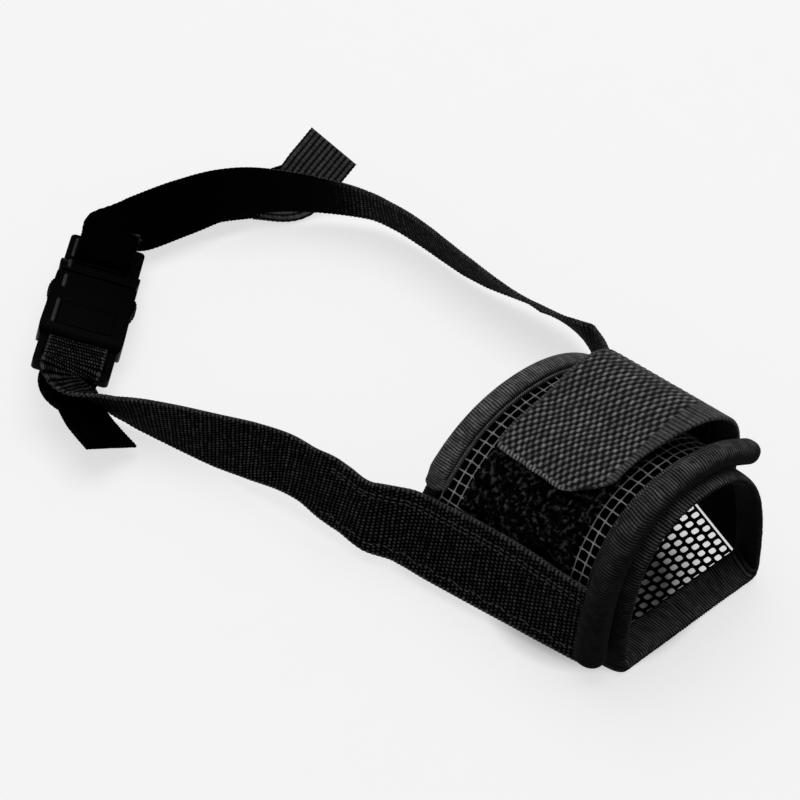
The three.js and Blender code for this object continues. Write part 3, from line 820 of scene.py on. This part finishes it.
NET_X = (-31.9, 31.3)
CHIN_HALF, CHIN_LIFT, CHIN_MARGIN = 40, 0.6, 1.1
OUTER_NET_X = (-29.8, 28.2)
OUTER_NET_LIFT = 2.35
NET_SCALE = half_length(0)


def chin_place(u, v, height):
    """The chin net is drawn on a sheet of one width, and narrows to the nose with the tube."""
    wide = foot_at(u) - CHIN_MARGIN
    return np.stack([u, v / CHIN_HALF * wide, CHIN_LIFT + height], -1)


def outer_net_place(u, v, height):
    """The outer net, its threads drawn a little out of line here and there."""
    inside = smooth(-29.8, -26, u) * smooth(-28.2, -25, -u)
    pulled_u = u + inside * 0.7 * (value_noise(u, v, 7.0, 31) - 0.5)
    pulled_v = v + inside * 0.7 * (value_noise(u, v, 6.0, 32) - 0.5)
    lift = OUTER_NET_LIFT + 0.5 * (value_noise(u, v, 9.0, 33) - 0.5)
    return arch(pulled_u, pulled_v / NET_SCALE, lift + height)


def knit(x, s):
    return plain_weave(x + s, x - s, 1.5, 1.5, 0.9)


chin_net = lattice("chin_net", chin_place, NET_X, (-CHIN_HALF, CHIN_HALF), cell=(3.1, 4.5), bar=1.15,
                   thick=1.0, roundness=3.0, staggered=True)
finish_piece(chin_net, "mesh", "muzzle", "chin_net", "chin_panel")
inner_net = arch_slab("inner_net", NET_X, (-1, 1), 0.0, 1.15, knit, depth=0.16, step=0.55)
finish_piece(inner_net, "knit", "muzzle", "net", "inner_net_panel")
outer_net = lattice("outer_net", outer_net_place, OUTER_NET_X, (-0.995 * NET_SCALE, 0.36 * NET_SCALE),
                    cell=(3.2, 3.5), bar=0.40, thick=0.5, roundness=8.0, staggered=False)
finish_piece(outer_net, "thread", "muzzle", "net", "outer_net_panel")

# ---- bound edges ----

def rear_roll_top(across):
    """The rear roll flattens where it runs under the side webbing."""
    return 3.3 + 2.1 * smooth(-0.57, -0.50, across)


for name, node, girth, box in (("nose_ring", "nose_ring_binding", 215, (31.6, 43.5, -1.5, 1.6)),
                               ("rear_ring", "rear_opening_binding", 235, (-37.5, -32.2, -1.3, 1.5))):
    edge = ribbed_tube(name, closed_edge_place(*box), girth, squarish, pitch=1.1, depth=0.10, closed=True)
    finish_piece(edge, "binding", "muzzle", "binding_tape", node)

front_roll = ribbed_tube("front_roll", *roll_place(32, 41, 2.6, 10.4, -0.925, 0.2, straight=12), rounded,
                         pitch=0.72, depth=0.026, taper=3.4, fine=14, sides=64)
finish_piece(front_roll, "binding", "muzzle", "binding_tape", "outer_front_binding")
front_cord = ribbed_tube("front_cord", *roll_place(28.5, 31.3, 1.8, 4.6, -0.55, 0.36), squarish, pitch=0.8,
                         depth=0.08, taper=1.2)
finish_piece(front_cord, "binding", "muzzle", "binding_tape", "front_piping")
rear_roll = ribbed_tube("rear_roll", *roll_place(-37.5, -30.1, 1.9, rear_roll_top, -0.60, 0.48), squarish,
                        pitch=0.85, depth=0.04, taper=2.0, fine=9, sides=56)
finish_piece(rear_roll, "tape", "muzzle", "binding_tape", "outer_rear_binding")
rear_cord = ribbed_tube("rear_cord", *roll_place(-30.0, -28.8, 1.9, 3.7, -0.58, 0.40), rounded, pitch=0.7,
                        depth=0.06, taper=0.6, sides=16)
finish_piece(rear_cord, "tape", "muzzle", "binding_tape")

# ---- closure: loop patch, hook patch and flap ----

PATCH_HALF = 22.0
PATCH_LOW, PATCH_TOP = -0.60, 0.02
FUZZ_X, FUZZ_ACROSS = (-21.4, 21.4), (-0.545, 0.01)


def pile(x, s):
    tufts = 0.5 * value_noise(x, s, 1.15, 5) + 0.5 * value_noise(x, s, 0.6, 6)
    return np.clip((tufts - 0.38) * 2.6, 0, 1)


def pile_top(across, x):
    """The pile is pressed flat where the side webbing is sewn over it."""
    return 4.3 - 0.9 * smooth(-0.535, -0.555, across)


def zigzag_edges(x, s):
    """The patch's two long edges are cut in small points."""
    near = np.clip(1 - (PATCH_HALF - np.abs(x)) / 2.0, 0, 1)
    point = 2 * np.abs((s / 2.4) % 1 - 0.5)
    return x - np.sign(x) * near * 0.9 * point, s


def pile_place(u, v, height):
    return arch(u, v / NET_SCALE, 4.15 + height)


loop_pile = arch_slab("loop_pile", (-PATCH_HALF, PATCH_HALF), (PATCH_LOW, PATCH_TOP), 3.3, pile_top, pile,
                      depth=0.7, step=0.36, warp=zigzag_edges)
finish_piece(loop_pile, "fleece", "muzzle", "loop_fleece", "loop_patch")
loop_fuzz = fibres("loop_fuzz", pile_place, FUZZ_X, [end * NET_SCALE for end in FUZZ_ACROSS], count=5600,
                   length=0.8, radius=0.055)
finish_piece(loop_fuzz, "fuzz", "muzzle", "loop_fleece")

FLAP_REAR, FLAP_FRONT = -21.0, 22.0
FLAP_END, FLAP_ROOT = -0.31, 0.545
FLAP_SCALE = half_length((FLAP_REAR + FLAP_FRONT) / 2)
FLAP_FREE_EDGE = FLAP_END * FLAP_SCALE
FLAP_THICK = 1.6
FLAP_LIFT, FLAP_DROP, FLAP_BULGE = 5.9, 4.3, 8.5
FLAP_FLARE = 7.5
FLAP_CORNER = 4.0
FLAP_BEAD = 1.4
CHAMFER_LONG, CHAMFER_DEEP, CHAMFER_REACH = 14.0, 7.5, 18.0


def flap_low(across, x):
    """The flap stands off the net in a bulge over the crown, and comes down to its root on the left."""
    return (FLAP_BULGE * np.sin(math.pi * smooth(-0.1, FLAP_ROOT, across))
            + FLAP_LIFT - FLAP_DROP * smooth(0.1, FLAP_ROOT, across))


def flap_high(across, x):
    return flap_low(across, x) + FLAP_THICK


def flap_warp(x, s):
    """Rounds and cuts the free corners, flares the front edge to the root, and scallops the free edge."""
    middle, half = (FLAP_REAR + FLAP_FRONT) / 2, (FLAP_FRONT - FLAP_REAR) / 2
    near = np.clip(1 - (s - FLAP_FREE_EDGE) / FLAP_CORNER, 0, 1)
    pull = FLAP_CORNER * (1 - np.sqrt(1 - near ** 2)) * 0.8
    narrow = middle + (x - middle) * (half - pull) / half
    edge = np.clip(1 - (s - FLAP_FREE_EDGE) / 1.5, 0, 1)
    cut = np.clip(1 - (FLAP_FRONT - x) / CHAMFER_LONG, 0, 1) ** 1.6 * CHAMFER_DEEP
    reach = np.clip(1 - (s - FLAP_FREE_EDGE) / CHAMFER_REACH, 0, 1)
    forward = np.clip((x - FLAP_REAR) / (FLAP_FRONT - FLAP_REAR), 0, 1)
    flare = FLAP_FLARE * smooth(-0.1, 0.25, s / FLAP_SCALE) * forward
    return narrow + flare, s + reach * cut + edge * 0.45 * np.abs(np.sin(math.pi * x / FLAP_BEAD))


def flap_weave(x, s):
    """A plain weave, with grooves over the far shoulder, fine selvages and a beaded free edge."""
    blobs = plain_weave(x, s, 1.25, 1.4, 0.8)
    grooves = (0.5 + 0.5 * np.cos(TAU * x / 2.5)) * (0.7 + 0.3 * np.abs(np.cos(math.pi * s / 0.8)))
    far = smooth(6, 20, s)
    body = blobs * (1 - 0.7 * far) + far * 0.7 * (0.3 * blobs + 0.7 * grooves)
    selvage = smooth(FLAP_FRONT - 2.9, FLAP_FRONT - 2.4, x) + smooth(FLAP_REAR + 1.6, FLAP_REAR + 1.2, x)
    fine = 0.22 + 0.42 * ribs(s, 0.95) * (0.8 + 0.2 * value_noise(x, s, 0.8, 91))
    free_edge = smooth(FLAP_FREE_EDGE + 1.6, FLAP_FREE_EDGE + 1.0, s)
    beads = np.abs(np.sin(math.pi * x / FLAP_BEAD)) ** 0.7
    body = body * (1 - free_edge) + beads * free_edge
    return body * (1 - selvage) + fine * selvage


flap = arch_slab("flap_cloth", (FLAP_REAR, FLAP_FRONT), (FLAP_END, FLAP_ROOT), flap_low, flap_high,
                 flap_weave, depth=0.42, step=0.35, warp=flap_warp, edge=0.8)
finish_piece(flap, "flap", "flap", "flap_webbing", "closure_flap", ride=False)
root = arch(0.5, FLAP_ROOT, 2.4) * MM
inward = arch(0.5, FLAP_ROOT - 0.06, 2.4) * MM
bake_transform(flap)


def hook_back(x, s):
    return ribs(s, 1.0) * 0.5


def hook_warp(x, s):
    """The hook patch follows the flap's cut corner, a little inside it."""
    cut = np.clip(1 - (FLAP_FRONT - x) / (CHAMFER_LONG + 2), 0, 1) ** 1.3 * (CHAMFER_DEEP + 2)
    return x, s + np.clip(1 - (s - FLAP_FREE_EDGE) / CHAMFER_REACH, 0, 1) * cut


# Each hook's rings from its foot to its tip: lift, radius and how far it has bent forward.
HOOK_RINGS = [(5.3, 0.16, 0.0), (4.9, 0.13, 0.0), (4.66, 0.13, 0.1), (4.56, 0.24, 0.28), (4.48, 0.1, 0.42)]
HOOK_SIDES = 5


def hook_field():
    """Rows of small hooks pointing down at the pile."""
    along = np.arange(-19.2, 19.3, 1.25)
    round_tube = np.arange((FLAP_END + 0.04) * FLAP_SCALE, -0.07 * FLAP_SCALE, 1.3)
    x, s = np.meshgrid(along, round_tube)
    x, s = hook_warp(x.ravel()[:, None], s.ravel()[:, None])
    turn = np.arange(HOOK_SIDES) / HOOK_SIDES * TAU
    rings = [arch(x + bent + wide * np.cos(turn), (s + wide * np.sin(turn)) / FLAP_SCALE, lift)
             for lift, wide, bent in HOOK_RINGS]
    quads = rod_quads(len(x), len(HOOK_RINGS), HOOK_SIDES, capped=False)
    uv = rod_uv(len(x), np.arange(len(HOOK_RINGS)), turn)
    return make_mesh("hook_field", np.stack(rings, 1).reshape(-1, 3), quads, uv)


hook_sheet = arch_slab("hook_backing", (-20, 19), (FLAP_END + 0.035, -0.06), 5.2, 5.6, hook_back, depth=0.1,
                       step=0.6, warp=hook_warp, edge=0.3)
finish_piece(hook_sheet, "hooks", "flap", "hook_tape", "hook_patch")
finish_piece(hook_field(), "hooks", "flap", "hook_tape")

# ---- webbing ----

SIDE_WIDTH, STRAP_WIDTH = 30.0, 20.0
RIGHT_LIFT, LEFT_LIFT = 4.2, 2.4
right_side = [side_station(x, -1, RIGHT_LIFT) for x in (31, 18, 4, -10, -23, -36)] + [
    station(-47, -53.4, 15.2, -26), station(-57, -54.8, 15.9, -28), station(-66.5, -56, 16.3, -29)]
left_side = [side_station(x, 1, LEFT_LIFT) for x in (31, 18, 4, -10, -23, -33, -41)]
side_band_left = strap("side_band_left", left_side, SIDE_WIDTH)
finish_piece(side_band_left, "webbing", "muzzle", "webbing", "side_webbing_left")

# The buckle's own frame: along the strap, across it, and outward from the wearer.
BUCKLE_MIDDLE = np.array([-184.6, -58.6, 10.0])
BUCKLE_AXIS = unit(np.array([0.66, -0.75, 0.0]))
BUCKLE_TILT = math.radians(75)
outward = -np.cross([0, 0, 1], BUCKLE_AXIS)
BUCKLE_ACROSS = np.array([0, 0, math.cos(BUCKLE_TILT)]) + math.sin(BUCKLE_TILT) * outward
BUCKLE_FACE = np.cross(BUCKLE_AXIS, BUCKLE_ACROSS)


def on_buckle(along, across, out):
    along, across, out = (np.asarray(v, float)[..., None] for v in (along, across, out))
    return BUCKLE_MIDDLE + along * BUCKLE_AXIS + across * BUCKLE_ACROSS + out * BUCKLE_FACE


# The turn round a ladder bar, along the strap and outward: the load side, the bar, and the tail side.
WRAP = [(37, -4.7), (31, -4.7), (25, -4.7), (21.6, -4.3), (19.9, -2.4), (19.8, 0.6), (20.8, 2.5), (22.8, 2.8),
        (24.8, 2.4), (26.2, 0.4), (27.4, -1.8), (29.4, -2.9), (32.5, -3.2), (36, -3), (40, -2)]


def wrap(side):
    return [(on_buckle(side * along, 0, out), BUCKLE_ACROSS) for along, out in WRAP]


# Where the right strap leaves the bar it leans less than the buckle does.
WRAP_END_LEAN = 58
turned = wrap(1)
eased = station(-160, -86, 10, WRAP_END_LEAN)[1]
for i in (0, -2, -1):
    turned[i] = (turned[i][0], eased)

RIGHT_NECK = [(-80, -57.9, 15.8, -28), (-93, -61.6, 13.8, -24), (-106, -66.4, 12, -14), (-118, -70.8, 11, -3),
              (-129, -75.4, 10.6, 10), (-139, -80.2, 10.6, 28), (-150, -85, 11.8, 46)]
RIGHT_TAIL = [(-150, -88.4, 9, 56), (-140, -90.6, 9, 61), (-128, -92, 9.2, 62)]
right_neck = [station(*at) for at in RIGHT_NECK] + turned + [station(*at) for at in RIGHT_TAIL]


def ribbon_length(stations):
    return run_along(centripetal(np.array([s[0] for s in stations]))[0])[-1]


right_route = right_side + right_neck
RIGHT_SIDE_LENGTH, RIGHT_LENGTH = ribbon_length(right_side), ribbon_length(right_route)
NARROWED = 7.0


def right_width(s):
    """Share of the side webbing's width: it narrows to the rear, and again where the strap starts."""
    narrowed = SIDE_WIDTH - NARROWED * smooth(0.2, 1, s / RIGHT_SIDE_LENGTH)
    strap_share = smooth(RIGHT_SIDE_LENGTH - 5, RIGHT_SIDE_LENGTH + 7, s)
    return (narrowed * (1 - strap_share) + STRAP_WIDTH * strap_share) / SIDE_WIDTH


def right_dim(s):
    """The loose tail is the darkest part of the strap."""
    tail = 1 - 0.5 * smooth(RIGHT_LENGTH - 44, RIGHT_LENGTH - 34, s)
    return tail, tail


side_band_right = strap("side_band_right", right_route, SIDE_WIDTH, taper=right_width, dim=right_dim)
finish_piece(side_band_right, "webbing", "muzzle", "webbing", "side_webbing_right", "neck_strap_right")

TAB_WIDTH_WAY = np.array([-0.847, -0.306, 0.431])
LEFT_NECK = [
    (-35, 50.6, 13.8, -26), (-41.3, 51.6, 13.4, -22), (-48, 54.2, 13.2, -19), (-54.9, 55.8, 13, -16),
    (-57.5, 55.8, 13, -16), (-66, 56.2, 12.8, -38), (-76, 55.9, 12.5, -54), (-87, 54.6, 12, -49),
    (-98, 53.1, 11.6, -38), (-109, 51.9, 11.2, -27), (-120, 51.3, 10.9, -21), (-130, 51.1, 11, -19),
    (-141, 50.4, 11.4, -19), (-150, 48.7, 12.2, -21), (-159, 45.6, 13.2, -21), (-174, 35.5, 14.2, -12),
    (-185.5, 23.5, 15.6, -2), (-193.5, 9, 17.4, 12), (-200.5, -6.5, 15, 36), (-207, -22, 12, 60)]
LEFT_TAIL = [(-211, -19, 6.5, 80), (-209.5, -5, 5.5, 84), (-204.5, 9, 6, 84), (-197.5, 22.5, 5.5, 84)]
LEFT_TAB = [(-188, 35.4, 7.4), (-187.3, 44, 13), (-187, 53, 19)]
left_route = ([station(*at) for at in LEFT_NECK] + wrap(-1) + [station(*at) for at in LEFT_TAIL]
              + [(np.array(at), TAB_WIDTH_WAY) for at in LEFT_TAB])
LEFT_LENGTH = ribbon_length(left_route)
# The end of the loose tail is a ribbed tab. The strap and the tab share one stretch between two stations.
strap_route, tab_route = left_route[:-2], left_route[-4:]


def left_dim(s):
    """Painted shade on the strap's inner face from a little behind the muzzle to its loose tail; the outer
    face is darker towards its loose tail.
    """
    inner = 1 - 0.72 * smooth(124, 152, s)
    outer = 1 - 0.6 * smooth(LEFT_LENGTH - 75, LEFT_LENGTH - 60, s)
    return outer, inner


def tab_weave(s, v):
    """Lengthwise ribs, with the picks showing faintly between them."""
    return ribs(v, 2.0) * (0.7 + 0.3 * np.abs(np.sin(math.pi * s / 1.5)))


neck_left = strap("neck_band_left", strap_route, STRAP_WIDTH, step=0.42, dim=left_dim)
finish_piece(neck_left, "webbing", "strap_left", "webbing", "neck_strap_left", "strap_root_left", ride=False)
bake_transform(neck_left)
finish_piece(strap("neck_tab", tab_route, STRAP_WIDTH + 0.8, tab_weave), "tab", "strap_left", "webbing")

# ---- stitch rows ----

STITCH_LIFT = WEBBING_THICK / 2 + 0.12
for label, offset, wobble in (("top_a", 10.4, 0.0), ("top_b", 8.9, 0.0), ("low", -10.2, 0.5)):
    row = strap_line(right_route, offset, -STITCH_LIFT, start=1.5, end=RIGHT_SIDE_LENGTH - 2, wobble=wobble,
                     wavelength=9.0, taper=right_width)
    finish_piece(stitches(f"side_stitch_{label}", *row), "stitch", "muzzle", "webbing")

# ---- buckle ----

BEVEL = 0.45 * MM
BEVEL_FROM, SHARP_FROM = math.radians(32), math.radians(38)


def moulded(name, node):
    """The CAD solid with its edges rounded as a moulding's are."""
    solid = bmesh.new()
    solid.from_mesh(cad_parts[node].data)
    bmesh.ops.remove_doubles(solid, verts=solid.verts, dist=0.01 * MM)
    bmesh.ops.dissolve_limit(solid, angle_limit=math.radians(1), verts=solid.verts, edges=solid.edges)
    edges = [e for e in solid.edges if len(e.link_faces) == 2 and e.calc_face_angle() > BEVEL_FROM]
    bmesh.ops.bevel(solid, geom=edges, offset=BEVEL, segments=3, profile=0.55, affect="EDGES",
                    clamp_overlap=True)
    bmesh.ops.triangulate(solid, faces=[f for f in solid.faces if len(f.verts) > 4])
    mesh = bpy.data.meshes.new(name)
    solid.to_mesh(mesh)
    solid.free()
    mesh.polygons.foreach_set("use_smooth", np.ones(len(mesh.polygons), bool))
    mesh.set_sharp_from_angle(angle=SHARP_FROM)
    return show(name, mesh)


for name, node, body in (("buckle_socket", "buckle_female", "muzzle"),
                         ("buckle_plug", "buckle_male", "strap_left"),
                         ("latch_outer_arm", "latch_arm_outer", "latch_outer"),
                         ("latch_inner_arm", "latch_arm_inner", "latch_inner")):
    finish_piece(moulded(name, node), "plastic", body, "buckle_plastic", node)

RIDGE_SIDES, RIDGE_STEPS = 8, 9
RIM_HALF, RIDGE_ACROSS = 9.5, 10.6


def ridges(name, ends, radius, body, look="plastic"):
    """Rounded ridges between pairs of places in the buckle's frame, as one piece of closed capsules."""
    turn = np.arange(RIDGE_SIDES) / RIDGE_SIDES * TAU
    share = (1 - np.cos(np.linspace(0, math.pi, RIDGE_STEPS))) / 2
    rings = []
    for first, last in ends:
        a, b = on_buckle(*first), on_buckle(*last)
        along = b - a
        length = np.linalg.norm(along)
        along = along / length
        side = unit(np.cross(along, [0.3, 0.2, 0.9]))
        wide = np.maximum(round_off(np.minimum(share, 1 - share) * length, radius), 0.08) * radius
        centre = a + share[:, None] * along * length
        rings.append(rod_rings(centre, wide, side, np.cross(along, side), turn).reshape(-1, 3))
    quads = rod_quads(len(ends), RIDGE_STEPS, RIDGE_SIDES, capped=True)
    finish_piece(make_mesh(name, np.concatenate(rings), quads), look, body, "buckle_plastic")


# The finger pads of the two latch arms.
PADS = [(-6.6, 14.75), (-5.2, 15.0), (-3.8, 15.05), (-2.4, 14.85), (-1.0, 14.45)]
for name, side, body in (("latch_outer_grip", 1, "latch_outer"), ("latch_inner_grip", -1, "latch_inner")):
    ridges(name, [((a, side * b, -1.9), (a, side * b, 1.9)) for a, b in PADS], 0.36, body)

# A raised frame on both faces of each half.
for name, body, near, far, out in (("socket_rim", "muzzle", 3.5, 14.0, 4.45),
                                   ("plug_rim", "strap_left", -17.0, -13.2, 3.85)):
    corners = [(near, -RIM_HALF), (far, -RIM_HALF), (far, RIM_HALF), (near, RIM_HALF)]
    sides = list(zip(corners, corners[1:] + corners[:1]))
    ends = [((*first, face * out), (*last, face * out)) for face in (-1, 1) for first, last in sides]
    ridges(name, ends, 0.32, body)

# The rounded ends of the ladder slots.
for name, body, side in (("socket_slot_ends", "muzzle", 1), ("plug_slot_ends", "strap_left", -1)):
    ends = [((side * near, across, out), (side * far, across, out))
            for near, far in ((18.2, 21.4), (23.8, 29.2)) for across in (-10.7, 10.7) for out in (-0.7, 0.7)]
    ridges(name, ends, 0.95, body)

# Ridges of the outer long edge, in the lighter acetal that is painted highlight.
for name, body, spans in (("socket_ridges", "muzzle", ((-9.0, -2.5, -4.3), (3.0, 14.5, -4.3))),
                          ("plug_ridges", "strap_left", ((-30.0, -20.5, -1.7), (-17.0, -13.0, -3.7)))):
    ends = [((a, RIDGE_ACROSS, out), (b, RIDGE_ACROSS, out)) for a, b, out in spans]
    ridges(name, ends, 0.75, body, "highlight_painted")

# ---- stage, lights and camera ----

FLOOR_Z = cad_low.z - 0.4 * MM
FLOOR_REACH = 4.0
CORNERS = ((-1, -1), (1, -1), (1, 1), (-1, 1))
floor_mesh = bpy.data.meshes.new("floor")
floor_mesh.from_pydata([(x * FLOOR_REACH, y * FLOOR_REACH, FLOOR_Z) for x, y in CORNERS], [], [(0, 1, 2, 3)])
floor_mesh.materials.append(floor_material())
show("floor", floor_mesh)

world = bpy.data.worlds.new("studio")
world.use_nodes = True
sky = world.node_tree.nodes["Background"]
sky.inputs["Color"].default_value = (0.98, 0.99, 1.0, 1)
sky.inputs["Strength"].default_value = 0.18
bpy.context.scene.world = world


def aimed(name, data, at, back):
    """An object at a place, that looks the other way from back."""
    obj = show(name, data)
    obj.location = at
    obj.rotation_euler = (-back).to_track_quat("-Z", "Y").to_euler()
    return obj


SOFTBOX_AT, SOFTBOX_TARGET = Vector((-0.25, 0.30, 1.6)), Vector((-0.08, 0, 0.02))
softbox = bpy.data.lights.new("key_softbox", "AREA")
softbox.shape = "DISK"
softbox.size = 1.8
softbox.energy = 9.0
aimed("key_softbox", softbox, SOFTBOX_AT, SOFTBOX_AT - SOFTBOX_TARGET)

AZIMUTH, ELEVATION = math.radians(48.5), math.radians(45)
DISTANCE = 0.900
TARGET = Vector((-0.08957, -0.00179, 0.0))
back = Vector((math.sin(AZIMUTH) * math.cos(ELEVATION), -math.cos(AZIMUTH) * math.cos(ELEVATION),
               math.sin(ELEVATION)))
lens = bpy.data.cameras.new("camera")
lens.sensor_width = 36.0
lens.lens = 121.5
bpy.context.scene.camera = aimed("camera", lens, TARGET + back * DISTANCE, back)
bpy.context.scene.view_settings.view_transform = "Standard"
